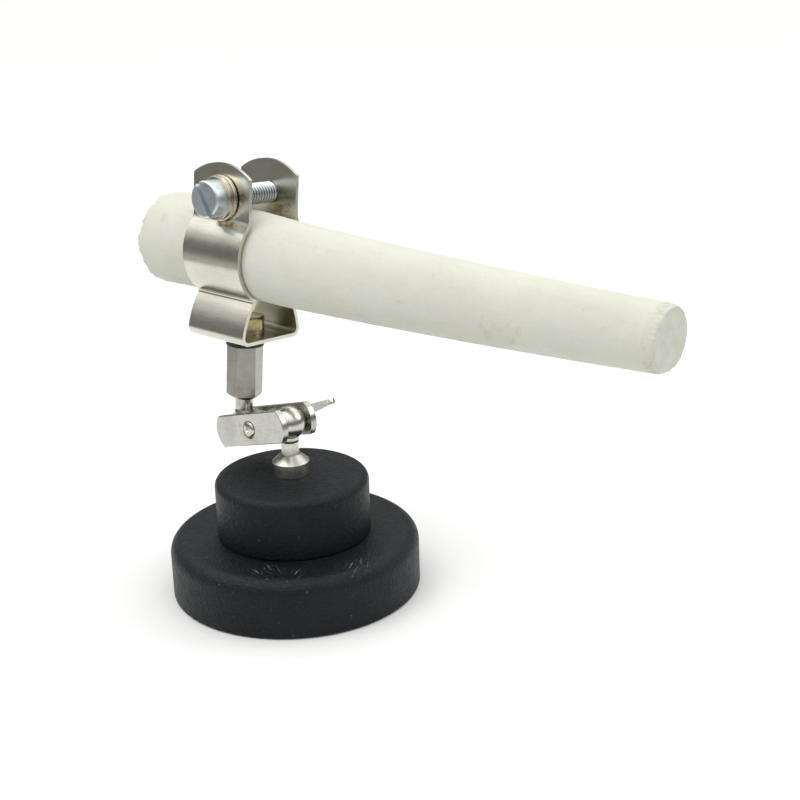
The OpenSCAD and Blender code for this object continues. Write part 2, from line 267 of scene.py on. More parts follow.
def thread_tree():
    """A helical thread on a core, from z = 0 up."""
    name = "Screw Thread"
    if name in bpy.data.node_groups:
        return bpy.data.node_groups[name]
    tree = bpy.data.node_groups.new(name, "GeometryNodeTree")
    for label, kind, value in (
        ("Radius", "NodeSocketFloat", 0.003),
        ("Depth", "NodeSocketFloat", 0.0006),
        ("Pitch", "NodeSocketFloat", 0.001),
        ("Length", "NodeSocketFloat", 0.02),
        ("Finish", "NodeSocketMaterial", None),
    ):
        socket = tree.interface.new_socket(name=label, in_out="INPUT", socket_type=kind)
        if value is not None:
            socket.default_value = value
    tree.interface.new_socket(name="Geometry", in_out="OUTPUT", socket_type="NodeSocketGeometry")
    add = tree.nodes.new
    link = tree.links.new
    given = add("NodeGroupInput")
    out = add("NodeGroupOutput")

    def maths(op, a, b):
        node = add("ShaderNodeMath")
        node.operation = op
        for socket, value in zip(node.inputs, (a, b)):
            if isinstance(value, (int, float)):
                socket.default_value = value
            else:
                link(value, socket)
        return node.outputs[0]

    core_radius = maths("SUBTRACT", given.outputs["Radius"], given.outputs["Depth"])
    run = maths("SUBTRACT", given.outputs["Length"], given.outputs["Pitch"])
    turns = maths("DIVIDE", run, given.outputs["Pitch"])
    spiral = add("GeometryNodeCurveSpiral")
    spiral.inputs["Resolution"].default_value = 40
    link(turns, spiral.inputs["Rotations"])
    link(core_radius, spiral.inputs["Start Radius"])
    link(core_radius, spiral.inputs["End Radius"])
    link(run, spiral.inputs["Height"])
    normal = add("GeometryNodeSetCurveNormal")
    if "Mode" in normal.inputs:
        normal.inputs["Mode"].default_value = "Z Up"
    else:
        normal.mode = "Z_UP"
    link(spiral.outputs[0], normal.inputs["Curve"])
    ridge = add("GeometryNodeCurvePrimitiveQuadrilateral")
    ridge.mode = "KITE"
    link(maths("MULTIPLY", given.outputs["Depth"], 2.0), ridge.inputs["Width"])
    for side in ("Bottom Height", "Top Height"):
        link(maths("MULTIPLY", given.outputs["Pitch"], 0.47), ridge.inputs[side])
    sweep = add("GeometryNodeCurveToMesh")
    link(normal.outputs[0], sweep.inputs["Curve"])
    link(ridge.outputs[0], sweep.inputs["Profile Curve"])
    sweep.inputs["Fill Caps"].default_value = True
    # the curve winds left-handed, and the mirror makes it a right-handed thread
    lift = add("GeometryNodeTransform")
    lift.inputs["Scale"].default_value = (-1.0, 1.0, 1.0)
    link(sweep.outputs[0], lift.inputs["Geometry"])
    shift = add("ShaderNodeCombineXYZ")
    link(maths("MULTIPLY", given.outputs["Pitch"], 0.5), shift.inputs["Z"])
    link(shift.outputs[0], lift.inputs["Translation"])
    core = add("GeometryNodeMeshCylinder")
    core.inputs["Vertices"].default_value = 64
    link(core_radius, core.inputs["Radius"])
    link(given.outputs["Length"], core.inputs["Depth"])
    raise_core = add("GeometryNodeTransform")
    half = add("ShaderNodeCombineXYZ")
    link(maths("MULTIPLY", given.outputs["Length"], 0.5), half.inputs["Z"])
    link(core.outputs["Mesh"], raise_core.inputs["Geometry"])
    link(half.outputs[0], raise_core.inputs["Translation"])
    join = add("GeometryNodeJoinGeometry")
    link(lift.outputs[0], join.inputs[0])
    link(raise_core.outputs[0], join.inputs[0])
    real = add("GeometryNodeRealizeInstances")
    link(join.outputs[0], real.inputs[0])
    finish = add("GeometryNodeSetMaterial")
    link(real.outputs[0], finish.inputs["Geometry"])
    link(given.outputs["Finish"], finish.inputs["Material"])
    link(finish.outputs[0], out.inputs[0])
    return tree


def thread_mesh(place, radius, depth, pitch, length, material):
    """The thread as a plain mesh, in its place."""
    tree = thread_tree()
    carrier = bpy.data.objects.new("thread carrier", bpy.data.meshes.new("thread carrier"))
    bpy.context.scene.collection.objects.link(carrier)
    modifier = carrier.modifiers.new("Thread", "NODES")
    modifier.node_group = tree
    values = {
        "Radius": radius * MM, "Depth": depth * MM, "Pitch": pitch * MM, "Length": length * MM, "Finish": material,
    }
    for item in tree.interface.items_tree:
        if item.item_type == "SOCKET" and item.in_out == "INPUT":
            modifier[item.identifier] = values[item.name]
    bpy.context.view_layer.update()
    graph = bpy.context.evaluated_depsgraph_get()
    made = bpy.data.meshes.new_from_object(carrier.evaluated_get(graph))
    bm = bmesh.new()
    bm.from_mesh(made)
    bmesh.ops.remove_doubles(bm, verts=bm.verts, dist=1e-6)
    bmesh.ops.recalc_face_normals(bm, faces=bm.faces)
    bm.transform(place)
    bpy.data.objects.remove(carrier)
    if not bm.faces:
        raise RuntimeError("the thread came out empty")
    return to_mesh(bm, "thread")


# ---- finishes ----

class Finish:
    """A procedural material, with short names for the nodes that it is made of."""

    def __init__(self, name):
        self.material = bpy.data.materials.new(name)
        self.material.use_nodes = True
        self.tree = self.material.node_tree
        self.shader = self.tree.nodes["Principled BSDF"]
        self.place = self.tree.nodes.new("ShaderNodeTexCoord").outputs["Object"]

    def put(self, socket, value):
        if isinstance(value, bpy.types.NodeSocket):
            self.tree.links.new(value, socket)
        elif isinstance(value, (tuple, list)) and len(value) == 3 and socket.type == "RGBA":
            socket.default_value = (*value, 1)
        else:
            socket.default_value = value

    def shade(self, **values):
        for key, value in values.items():
            self.put(self.shader.inputs[key.replace("_", " ")], value)
        return self.material

    def spot(self, centre=(0, 0, 0), turn=(0, 0, 0), size=(1, 1, 1)):
        """Object coordinates, measured from a point and along turned and stretched axes."""
        node = self.tree.nodes.new("ShaderNodeMapping")
        node.vector_type = "TEXTURE"
        node.inputs["Location"].default_value = centre
        node.inputs["Rotation"].default_value = turn
        node.inputs["Scale"].default_value = size
        self.tree.links.new(self.place, node.inputs["Vector"])
        return node.outputs[0]

    def grain(self, scale, detail=3.0, rough=0.55, twist=0.0, at=None):
        node = self.tree.nodes.new("ShaderNodeTexNoise")
        self.tree.links.new(at or self.place, node.inputs["Vector"])
        node.inputs["Scale"].default_value = scale
        node.inputs["Detail"].default_value = detail
        node.inputs["Roughness"].default_value = rough
        node.inputs["Distortion"].default_value = twist
        return node.outputs[0]

    def cells(self, scale, at=None, feature="F1"):
        node = self.tree.nodes.new("ShaderNodeTexVoronoi")
        node.feature = feature
        self.tree.links.new(at or self.place, node.inputs["Vector"])
        node.inputs["Scale"].default_value = scale
        return node.outputs["Distance"]

    def distance(self, at):
        node = self.tree.nodes.new("ShaderNodeVectorMath")
        node.operation = "LENGTH"
        self.tree.links.new(at, node.inputs[0])
        return node.outputs["Value"]

    def part(self, at, axis):
        node = self.tree.nodes.new("ShaderNodeSeparateXYZ")
        self.tree.links.new(at, node.inputs[0])
        return node.outputs[axis]

    def maths(self, op, a, b=0.0, c=0.0):
        node = self.tree.nodes.new("ShaderNodeMath")
        node.operation = op
        for socket, value in zip(node.inputs, (a, b, c)):
            self.put(socket, value)
        return node.outputs[0]

    def fade(self, value, low, high, to_low=0.0, to_high=1.0):
        """Smoothly carries low..high to to_low..to_high."""
        node = self.tree.nodes.new("ShaderNodeMapRange")
        node.interpolation_type = "SMOOTHSTEP"
        for socket, given in zip(node.inputs, (value, low, high, to_low, to_high)):
            self.put(socket, given)
        return node.outputs[0]

    def mix(self, amount, a, b):
        node = self.tree.nodes.new("ShaderNodeMix")
        node.data_type = "RGBA"
        self.put(node.inputs[0], amount)
        self.put(node.inputs[6], a)
        self.put(node.inputs[7], b)
        return node.outputs[2]

    def bump(self, height, strength, distance, under=None):
        node = self.tree.nodes.new("ShaderNodeBump")
        node.inputs["Strength"].default_value = strength
        node.inputs["Distance"].default_value = distance
        self.put(node.inputs["Height"], height)
        if under is not None:
            self.tree.links.new(under, node.inputs["Normal"])
        return node.outputs[0]


def powder_coat(name, tint, scratched=False):
    """Matt black powder coat: fine orange peel, pale specks, and scuffs where a hand turns the stud."""
    f = Finish(name)
    peel = f.grain(1700, 3, 0.65)
    lumps = f.cells(1400)
    height = f.maths("ADD", f.maths("MULTIPLY", peel, 0.8), f.maths("MULTIPLY", lumps, 0.6))
    broad = f.fade(f.grain(60, 3), 0.35, 0.7)
    colour = f.mix(broad, tuple(t * 0.75 for t in tint), tuple(t * 1.2 for t in tint))
    colour = f.mix(f.fade(peel, 0.52, 0.7, 0.0, 0.5), colour, tuple(t * 2.6 for t in tint))
    speck = f.maths("MULTIPLY", f.fade(f.cells(480), 0.14, 0.06), f.fade(f.grain(900, 1), 0.52, 0.62))
    colour = f.mix(f.maths("MULTIPLY", speck, 0.5), colour, (0.16, 0.16, 0.155))
    if scratched:
        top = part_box("lower_disc")[1][2]
        for x, y, turn, reach in (
            (-0.0052, -0.0262, 1.9, 0.0050), (-0.0075, -0.0285, 2.3, 0.0045),
            (0.0012, -0.0290, 1.15, 0.0048), (0.0155, -0.0262, 1.25, 0.0055), (0.0185, -0.0240, 1.5, 0.0045),
        ):
            place = (x, y, top)
            at = f.spot(place, (0, 0, turn), (0.014, 0.0007, 0.01))
            lines = f.fade(f.grain(1.0, 3, 0.6, 0.3, at), 0.56, 0.64)
            near = f.fade(f.distance(f.spot(place)), reach, reach * 0.4)
            broken = f.fade(f.grain(1300, 2), 0.38, 0.52)
            amount = f.maths("MULTIPLY", f.maths("MULTIPLY", lines, near), f.maths("MULTIPLY", broken, 0.8))
            colour = f.mix(amount, colour, (0.14, 0.14, 0.14))
    return f.shade(
        Base_Color=colour,
        Roughness=f.fade(f.grain(700, 3), 0.3, 0.75, 0.38, 0.52),
        Specular_IOR_Level=0.22,
        Normal=f.bump(height, 0.85, 0.00026),
    )


def rubber(name, tint):
    f = Finish(name)
    colour = f.mix(f.grain(300, 4), tuple(t * 0.7 for t in tint), tuple(t * 1.5 for t in tint))
    return f.shade(
        Base_Color=colour, Roughness=f.fade(f.grain(900, 2), 0.3, 0.7, 0.75, 0.92),
        Normal=f.bump(f.grain(2200, 3), 0.4, 0.0001),
    )


def plated(name, pale, deep, rough=(0.2, 0.34), brushed=(1, 1, 1), turn=(0, 0, 0), stain=None, stained=0.0,
           pits=0.3, spots=(), groove_shade=None):
    """A plated metal: cloudy tone, fine brushing along one way, stains, small pits and painted shade deep in a
    thread's hollows.
    """
    f = Finish(name)
    cloud = f.fade(f.grain(90, 4, 0.55, 0.3), 0.25, 0.6)
    colour = f.mix(cloud, tuple((2 * d + p) / 3 for d, p in zip(deep, pale)), pale)
    stroke = f.grain(1.0, 4, 0.7, 0.0, f.spot(turn=turn, size=tuple(0.0006 * b for b in brushed)))
    colour = f.mix(f.fade(stroke, 0.4, 0.75, 0.0, 0.3), colour, tuple(0.8 * d for d in deep))
    if stain:
        blotch = f.fade(f.grain(210, 6, 0.72, 1.2), 0.6, 0.74)
        colour = f.mix(f.maths("MULTIPLY", blotch, stained), colour, stain)
    for centre, reach, tint, amount in spots:
        near = f.fade(f.distance(f.spot(centre)), reach, reach * 0.3)
        ragged = f.fade(f.grain(420, 5, 0.7, 0.8), 0.38, 0.6)
        colour = f.mix(f.maths("MULTIPLY", f.maths("MULTIPLY", near, ragged), amount), colour, tint)
    pit = f.maths("MULTIPLY", f.fade(f.cells(1300), 0.24, 0.1), f.fade(f.grain(260, 3), 0.56, 0.66))
    colour = f.mix(f.maths("MULTIPLY", pit, pits), colour, tuple(0.25 * d for d in deep))
    shine = f.fade(f.grain(700, 4, 0.6), 0.3, 0.75, rough[0], rough[1])
    # painted shade: a thread's hollows darken towards their root, below the head's seat, where shade falls between the
    # ridges
    if groove_shade:
        place, root, crest, top = groove_shade
        at = f.spot(place.translation, tuple(place.to_euler()))
        squares = (f.maths("POWER", f.part(at, axis), 2.0) for axis in "XY")
        out = f.maths("SQRT", f.maths("ADD", *squares))
        below = f.fade(f.part(at, "Z"), top * MM, (top - 0.2) * MM)
        painted_groove_shade = f.maths("MULTIPLY", f.fade(out, crest * MM, root * MM), below)
        colour = f.mix(f.maths("MULTIPLY", painted_groove_shade, 0.9), colour, (0.06, 0.058, 0.05))
    return f.shade(
        Base_Color=colour, Metallic=1.0, Roughness=shine,
        Normal=f.bump(f.maths("ADD", f.maths("MULTIPLY", stroke, 0.6), f.maths("MULTIPLY", f.grain(1500, 3), 0.5)),
                      0.07, 0.00003),
    )


def chromate(name, pale):
    """Yellow chromate: patches of gold, green and purple on zinc."""
    f = Finish(name)
    patch = f.grain(260, 3, 0.6, 1.5)
    colour = f.mix(f.fade(patch, 0.38, 0.5), (0.40, 0.28, 0.27), pale)
    colour = f.mix(f.fade(patch, 0.54, 0.64), colour, (0.34, 0.40, 0.20))
    colour = f.mix(f.fade(f.grain(700, 4), 0.55, 0.75, 0.0, 0.6), colour, (0.3, 0.2, 0.06))
    return f.shade(
        Base_Color=colour, Metallic=1.0, Roughness=f.fade(f.grain(500, 4), 0.3, 0.7, 0.22, 0.42),
        Normal=f.bump(f.grain(900, 3), 0.2, 0.00005),
    )


def toned(colour, shares):
    return tuple(c * share for c, share in zip(colour, shares))


def bisque(name, pale, ends):
    """Matt off-white fired ceramic: pores, dark specks, tan smudges, faint long streaks and painted shade on the front
    end face.
    """
    f = Finish(name)
    place = rod_axes()
    turn = tuple(place.to_euler())
    long_way = f.spot(place.translation, turn, (1, 1, 1))
    x = f.part(long_way, "X")
    colour = f.mix(f.fade(f.grain(60, 5, 0.6), 0.3, 0.7), toned(pale, (0.93, 0.935, 0.92)), pale)
    streak = f.grain(1.0, 4, 0.6, 0.0, f.spot(place.translation, turn, (0.03, 0.0022, 0.0022)))
    colour = f.mix(f.fade(streak, 0.5, 0.8, 0.0, 0.3), colour, toned(pale, (0.84, 0.83, 0.79)))
    smudge = f.fade(f.grain(75, 5, 0.7, 0.9), 0.6, 0.72)
    colour = f.mix(f.maths("MULTIPLY", smudge, 0.4), colour, (0.42, 0.35, 0.23))
    haze = f.fade(f.grain(1.0, 5, 0.65, 0.6, f.spot(place.translation, turn, (0.012, 0.004, 0.004))), 0.5, 0.72)
    colour = f.mix(f.maths("MULTIPLY", haze, 0.35), colour, toned(pale, (0.86, 0.8, 0.66)))
    for along, reach, amount in (
        (15.5, 0.9, 0.75), (30.5, 0.8, 0.6), (21.0, 1.3, 0.35), (60.0, 1.6, 0.35), (-22.0, 2.2, 0.3),
    ):
        away = f.distance(f.spot(place @ Vector((along * MM, -9.6 * MM, 6.9 * MM)), (0, 0, 0), (1, 1, 1)))
        mark = f.maths("MULTIPLY", f.fade(away, reach * MM, reach * 0.35 * MM), f.fade(f.grain(700, 4), 0.42, 0.55))
        colour = f.mix(f.maths("MULTIPLY", mark, amount), colour, (0.4, 0.27, 0.12))
    ragged = f.fade(f.grain(2600, 3), 0.4, 0.6, 0.2, 1.0)
    speck = f.maths("MULTIPLY", f.fade(f.cells(640), 0.17, 0.06), f.fade(f.grain(330, 2), 0.58, 0.66))
    colour = f.mix(f.maths("MULTIPLY", f.maths("MULTIPLY", speck, ragged), 0.75), colour, (0.2, 0.18, 0.15))
    tan = f.maths("MULTIPLY", f.fade(f.cells(420), 0.15, 0.05), f.fade(f.grain(140, 2), 0.54, 0.62))
    colour = f.mix(f.maths("MULTIPLY", f.maths("MULTIPLY", tan, ragged), 0.5), colour, (0.42, 0.27, 0.12))
    colour = f.mix(f.fade(f.grain(1900, 3, 0.6), 0.35, 0.7, 0.0, 0.5), colour, tuple(p * 0.9 for p in pale))
    # the broken front end face gets a darker, greener copy of the rod's colour as painted shade, with a stained rim
    far = f.fade(x, 131.0 * MM, 131.35 * MM)
    colour = f.mix(far, colour, f.mix(f.fade(f.grain(350, 4, 0.65), 0.35, 0.7), ends, tuple(e * 1.12 for e in ends)))
    rim = f.maths("MULTIPLY", f.fade(x, 128.2 * MM, 129.4 * MM), f.fade(x, 131.2 * MM, 130.2 * MM))
    rusty = f.fade(f.grain(160, 4, 0.7), 0.42, 0.58, 0.0, 0.55)
    colour = f.mix(f.maths("MULTIPLY", rim, rusty), colour, (0.42, 0.34, 0.21))
    height = f.maths("ADD", f.maths("MULTIPLY", f.grain(900, 5, 0.65), 0.8), f.maths("MULTIPLY", f.grain(170, 3), 0.6))
    return f.shade(
        Base_Color=colour, Roughness=f.fade(f.grain(600, 3), 0.3, 0.7, 0.8, 0.95), Specular_IOR_Level=0.3,
        Normal=f.bump(f.maths("SUBTRACT", height, f.maths("MULTIPLY", speck, 0.6)), 0.5, 0.00014),
    )


# ---- what a user would change ----

class RodHolderFoot(bpy.types.PropertyGroup):
    tint: FloatVectorProperty(
        name="Coat", description="Colour of the powder coat",
        subtype="COLOR", size=3, min=0, max=1, default=(0.0044, 0.0064, 0.0086),
    )
    pad_tint: FloatVectorProperty(
        name="Pad", description="Colour of the pad",
        subtype="COLOR", size=3, min=0, max=1, default=(0.03, 0.03, 0.03),
    )


class RodHolderMetal(bpy.types.PropertyGroup):
    nickel: FloatVectorProperty(
        name="Nickel", description="Colour of the plates, ball studs and wing screw",
        subtype="COLOR", size=3, min=0, max=1, default=(0.65, 0.65, 0.585),
    )
    zinc: FloatVectorProperty(
        name="Zinc", description="Colour of the clamp screw",
        subtype="COLOR", size=3, min=0, max=1, default=(0.66, 0.72, 0.76),
    )
    gold: FloatVectorProperty(
        name="Chromate", description="Colour of the bolt under the rod",
        subtype="COLOR", size=3, min=0, max=1, default=(0.50, 0.41, 0.20),
    )
    edge: FloatProperty(
        name="Edge", description="Rounding of the strap's cut edges, in millimetres",
        min=0.05, max=0.4, default=0.16,
    )
    pitch: FloatProperty(
        name="Pitch", description="Pitch of the clamp screw's thread, in millimetres",
        min=0.5, max=1.5, default=1.0,
    )
    thread: FloatProperty(
        name="Thread Depth", description="Depth of the clamp screw's thread, in millimetres",
        min=0.2, max=0.9, default=0.55,
    )


class RodHolderRod(bpy.types.PropertyGroup):
    tint: FloatVectorProperty(
        name="Rod", description="Colour of the rod",
        subtype="COLOR", size=3, min=0, max=1, default=(0.63, 0.635, 0.56),
    )
    end_face_shade_tint: FloatVectorProperty(
        # painted shade: a darker, greener rod colour that stands in for the shade on the rod's front end face
        name="End", description="Colour of the broken end faces",
        subtype="COLOR", size=3, min=0, max=1, default=(0.52, 0.54, 0.465),
    )
    bow: FloatProperty(
        name="Bow", description="How far the rod sags between its ends, in millimetres",
        min=0, max=1.2, default=1.05,
    )
    chips: FloatProperty(
        name="Chips", description="Depth of the chips round its ends, in millimetres",
        min=0, max=2, default=1.0,
    )
    seed: IntProperty(name="Seed", description="Changes where the chips are", min=0, default=7)


class RodHolderStage(bpy.types.PropertyGroup):
    sky: FloatProperty(name="Sky", description="Strength of the soft light", min=0, default=1.0)
    floor: FloatVectorProperty(
        name="Floor", description="Colour of the floor",
        subtype="COLOR", size=3, min=0, max=1, default=(0.78, 0.78, 0.78),
    )


# ---- operators ----

class BuildFoot(bpy.types.Operator):
    """Coat the two discs of the foot and its pad"""
    bl_idname = "rod_holder.foot"
    bl_label = "Foot"

    def execute(self, context):
        looks = context.scene.rod_holder_foot
        dress("lower_disc", powder_coat("lower disc coat", looks.tint, scratched=True))
        dress("upper_disc", powder_coat("upper disc coat", looks.tint))
        dress("base_pad", rubber("pad rubber", looks.pad_tint))
        return {"FINISHED"}


class BuildStuds(bpy.types.Operator):
    """Turn the ball studs and the collar, and plate the hidden nut"""
    bl_idname = "rod_holder.studs"
    bl_label = "Ball Studs"

    def execute(self, context):
        nickel = tuple(context.scene.rod_holder_metal.nickel)
        ball = plated("polished balls", nickel, (0.42, 0.42, 0.38), (0.2, 0.28), (1, 1, 1), pits=0.5,
                      stain=(0.30, 0.27, 0.2), stained=0.35)

        def stud_profile(reach, waist):
            neck = STUD_RADIUS + 0.25
            line = rounded([
                (0, -reach, 0), (STUD_RADIUS, -reach, 0.25), (STUD_RADIUS, -waist, 0.5),
                (2.7, -waist + 0.7, 0.3), (neck, -3.81, 0),
            ])
            first = math.asin(neck / BALL_RADIUS)
            for k in range(33):
                a = first + (math.pi - first) * k / 32
                line.append((BALL_RADIUS * math.sin(a), -BALL_RADIUS * math.cos(a)))
            return line[:-1] + [(0, BALL_RADIUS)]

        lower = new_piece("lower_ball", turned(stud_profile(45.8, 5.4), lower_ball_axes()))
        settle(lower, "lower_stud", ["lower_ball_stud"], ball)
        flipped = holder_axes() @ Matrix.Rotation(math.pi, 4, "X")
        upper = new_piece("upper_ball", turned(stud_profile(14.6, 5.4), flipped))
        settle(upper, "upper_stud", ["upper_ball_stud"], ball)

        profile = rounded([
            (2.58, 0, 0), (4.8, 0, 0.15), (4.8, 3.5, 0.1), (5.2, 3.62, 0.12), (5.2, 3.9, 0.12),
            (2.78, 6.0, 0.1), (2.58, 6.0, 0),
        ])
        foot_top = Matrix.Translation((0, 0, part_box("stud_collar")[0][2]))
        collar = new_piece("cone_collar", turned(profile, foot_top, 128, True))
        spun = plated(
            "turned collar", tuple(0.9 * n for n in nickel), (0.40, 0.385, 0.33), (0.3, 0.4), (3, 3, 0.25),
            pits=0.3, stain=(0.3, 0.24, 0.16), stained=0.3,
        )
        settle(collar, "lower_stud", ["stud_collar"], spun)
        zinc = plated("foot nut zinc", (0.62, 0.63, 0.64), (0.45, 0.46, 0.47), (0.25, 0.4))
        dress("base_nut", zinc)
        dress("base_washer", zinc)
        return {"FINISHED"}


class BuildPlates(bpy.types.Operator):
    """Round the edges of the clamp plates"""
    bl_idname = "rod_holder.plates"
    bl_label = "Clamp Plates"

    def execute(self, context):
        nickel = tuple(context.scene.rod_holder_metal.nickel)
        place = plate_axes()
        metal = plated(
            "plate nickel", tuple(0.84 * n for n in nickel), (0.42, 0.42, 0.375), (0.2, 0.32), (6, 6, 0.6),
            tuple(place.to_euler()),
            stain=(0.27, 0.22, 0.15), stained=0.45, pits=0.8,
        )
        for node in ("front_plate", "rear_plate"):
            plate = softened_piece("clamp_" + node, node, 0.38, angle=35)
            settle(plate, "plates", [node], metal)
        return {"FINISHED"}


class BuildWing(bpy.types.Operator):
    """Soften the wing screw, thread it between the plates and dome its end"""
    bl_idname = "rod_holder.wing"
    bl_label = "Wing Screw"

    def execute(self, context):
        nickel = tuple(context.scene.rod_holder_metal.nickel)
        metal = plated(
            "wing nickel", nickel, (0.42, 0.42, 0.38), (0.18, 0.28), (2, 2, 2),
            stain=(0.34, 0.26, 0.16), stained=0.4,
        )
        place = plate_axes()
        through = axes_at(place.translation, place.col[0].to_3d(), place.col[2].to_3d() * -1, place.col[1].to_3d())
        bm = solid_copy("wing_screw")
        # the head and wings stay; the shank is cut off behind the rear plate and made again with its thread
        bmesh.ops.bisect_plane(
            bm, geom=bm.verts[:] + bm.edges[:] + bm.faces[:], dist=1e-7,
            plane_co=through @ Vector((0, 0, HUB_CUT * MM)), plane_no=place.col[1].to_3d(), clear_inner=True,
        )
        bmesh.ops.holes_fill(bm, edges=[e for e in bm.edges if len(e.link_faces) == 1], sides=0)
        soften(bm, 0.3, 30)
        head = to_mesh(bm, "wing head")
        dome = turned(
            rounded([(0, 6.6, 0), (2.42, 6.6, 0), (2.42, 4.4, 0)], 2)
            + [(2.3, 4.2), (2.3, -4.3), (2.45, -4.4), (2.45, -5.9), (2.2, -6.0), (2.15, -6.3),
               (1.95, -6.5), (1.6, -6.66),
               (1.1, -6.8), (0.62, -6.86), (0.5, -6.74), (0.35, -6.5), (0, -6.4)],
            through, 64,
        )
        thread = thread_mesh(through @ Matrix.Translation((0, 0, -4.2 * MM)), 2.45, 0.35, 0.8, 8.4, metal)
        wing = new_piece("wing_screw_piece", joined("wing", head, dome, thread))
        settle(wing, "wing", ["wing_screw"], metal)
        return {"FINISHED"}


class BuildStandoff(bpy.types.Operator):
    """Soften the hexagonal standoff and its dark washer"""
    bl_idname = "rod_holder.standoff"
    bl_label = "Standoff"

    def execute(self, context):
        place = holder_axes()
        metal = plated(
            "drawn steel", (0.41, 0.405, 0.35), (0.31, 0.305, 0.26), (0.26, 0.36), (0.5, 0.5, 12),
            tuple(place.to_euler()),
            stain=(0.25, 0.2, 0.13), stained=0.3, pits=0.5,
            spots=((place @ Vector((1.5 * MM, -4.5 * MM, 11.5 * MM)), 0.0022, (0.22, 0.17, 0.10), 0.5),),
        )
        hexagon = softened_piece("standoff", "hex_standoff", 0.16, angle=20, sharp=15)
        settle(hexagon, "upper_stud", ["hex_standoff"], metal)
        profile = rounded([(3.3, 24.1, 0), (5.35, 24.1, 0.3), (5.35, 26.78, 0.2), (3.3, 26.78, 0)])
        washer = new_piece("dark_washer", turned(profile, place, 96, True))
        f = Finish("blackened steel")
        black = f.shade(
            Base_Color=f.mix(f.grain(350, 4), (0.012, 0.012, 0.013), (0.05, 0.05, 0.052)), Metallic=0.6,
            Roughness=f.fade(f.grain(500, 3), 0.3, 0.7, 0.3, 0.5), Normal=f.bump(f.grain(900, 3), 0.3, 0.00008),
        )
        settle(washer, "upper_stud", ["standoff_washer"], black)
        return {"FINISHED"}


class BuildClip(bpy.types.Operator):
    """Round the cut edges of the strap clip and stain it"""
    bl_idname = "rod_holder.clip"
    bl_label = "Strap Clip"

    def execute(self, context):
        looks = context.scene.rod_holder_metal
        place = rod_axes()

        def on_clip(x, y, z):
            return place @ Vector((x * MM, y * MM, z * MM))

        metal = plated(
            "strap nickel", (0.66, 0.65, 0.57), (0.54, 0.53, 0.46), (0.2, 0.26), (12, 0.8, 0.8),
            tuple(place.to_euler()),
            stain=(0.42, 0.34, 0.22), stained=0.3, pits=0.6,
            spots=(
                (on_clip(3.5, -10.5, 9.6), 0.0034, (0.20, 0.18, 0.14), 0.6),
                (on_clip(6.5, -9.4, 17.0), 0.0042, (0.33, 0.26, 0.15), 0.6),
                (on_clip(-2, -9.5, 20.4), 0.0040, (0.40, 0.35, 0.24), 0.5),
                (on_clip(4.0, 8.4, 12.5), 0.0075, (0.42, 0.29, 0.12), 0.8),
            ),
        )
        strap = softened_piece("strap_clip", "pipe_clip", looks.edge, angle=40, sharp=18)
        settle(strap, "clip", ["pipe_clip"], metal)
        return {"FINISHED"}


class BuildHardware(bpy.types.Operator):
    """Make the clip's bolt, nut and washers"""
    bl_idname = "rod_holder.hardware"
    bl_label = "Bolt and Washers"

    def execute(self, context):
        looks = context.scene.rod_holder_metal
        gold = chromate("yellow chromate", tuple(looks.gold))
        for name, node, width in (("bolt", "clip_bolt", 0.25), ("bolt_washer", "clip_bolt_washer", 0.14)):
            settle(softened_piece(name, node, width), "clip", [node], gold)
        tan = plated(
            "washer zinc", (0.66, 0.62, 0.52), (0.44, 0.38, 0.28), (0.2, 0.36), (1, 1, 1),
            stain=(0.34, 0.23, 0.12), stained=0.55,
        )
        for name, node, width in (
            ("flat_washer", "clip_flat_washer", 0.28), ("spring_washer", "clip_spring_washer", 0.2),
        ):
            settle(softened_piece(name, node, width), "clip", [node], tan)
        zinc = plated("nut zinc", tuple(looks.zinc), (0.46, 0.5, 0.53), (0.2, 0.36))
        settle(softened_piece("clamp_nut", "clip_nut", 0.25), "clip", ["clip_nut"], zinc)
        return {"FINISHED"}


class BuildClampScrew(bpy.types.Operator):
    """Make the slotted clamp screw, with its helical thread"""
    bl_idname = "rod_holder.clamp_screw"
    bl_label = "Clamp Screw"

    def execute(self, context):
        looks = context.scene.rod_holder_metal
        # the clamp screw's thread gets painted shade in its hollows
        metal = plated("clamp screw zinc", tuple(looks.zinc), (0.50, 0.56, 0.60), (0.34, 0.46), (1, 1, 1), pits=0.4,
                       stain=(0.46, 0.42, 0.32), stained=0.25, groove_shade=(screw_axes(), 2.45, 2.85, 2.6))
        place = screw_axes()
        seat = HEAD_SEAT * MM
        bm = solid_copy("clip_screw")
        bmesh.ops.bisect_plane(
            bm, geom=bm.verts[:] + bm.edges[:] + bm.faces[:], dist=1e-7,
            plane_co=place @ Vector((0, 0, seat + 0.02 * MM)), plane_no=place.col[2].to_3d(), clear_inner=True,
        )
        bmesh.ops.holes_fill(bm, edges=[e for e in bm.edges if len(e.link_faces) == 1], sides=0)
        soften(bm, 0.16, 35)
        head = to_mesh(bm, "screw head")
        thread_end = seat - SHANK_LENGTH * MM + 0.3 * MM
        thread = thread_mesh(
            place @ Matrix.Translation((0, 0, thread_end)),
            2.94, looks.thread, looks.pitch, SHANK_LENGTH, metal,
        )
        screw = new_piece("clamp_screw", joined("screw", head, thread), 24)
        settle(screw, "screw", ["clip_screw"], metal)
        return {"FINISHED"}


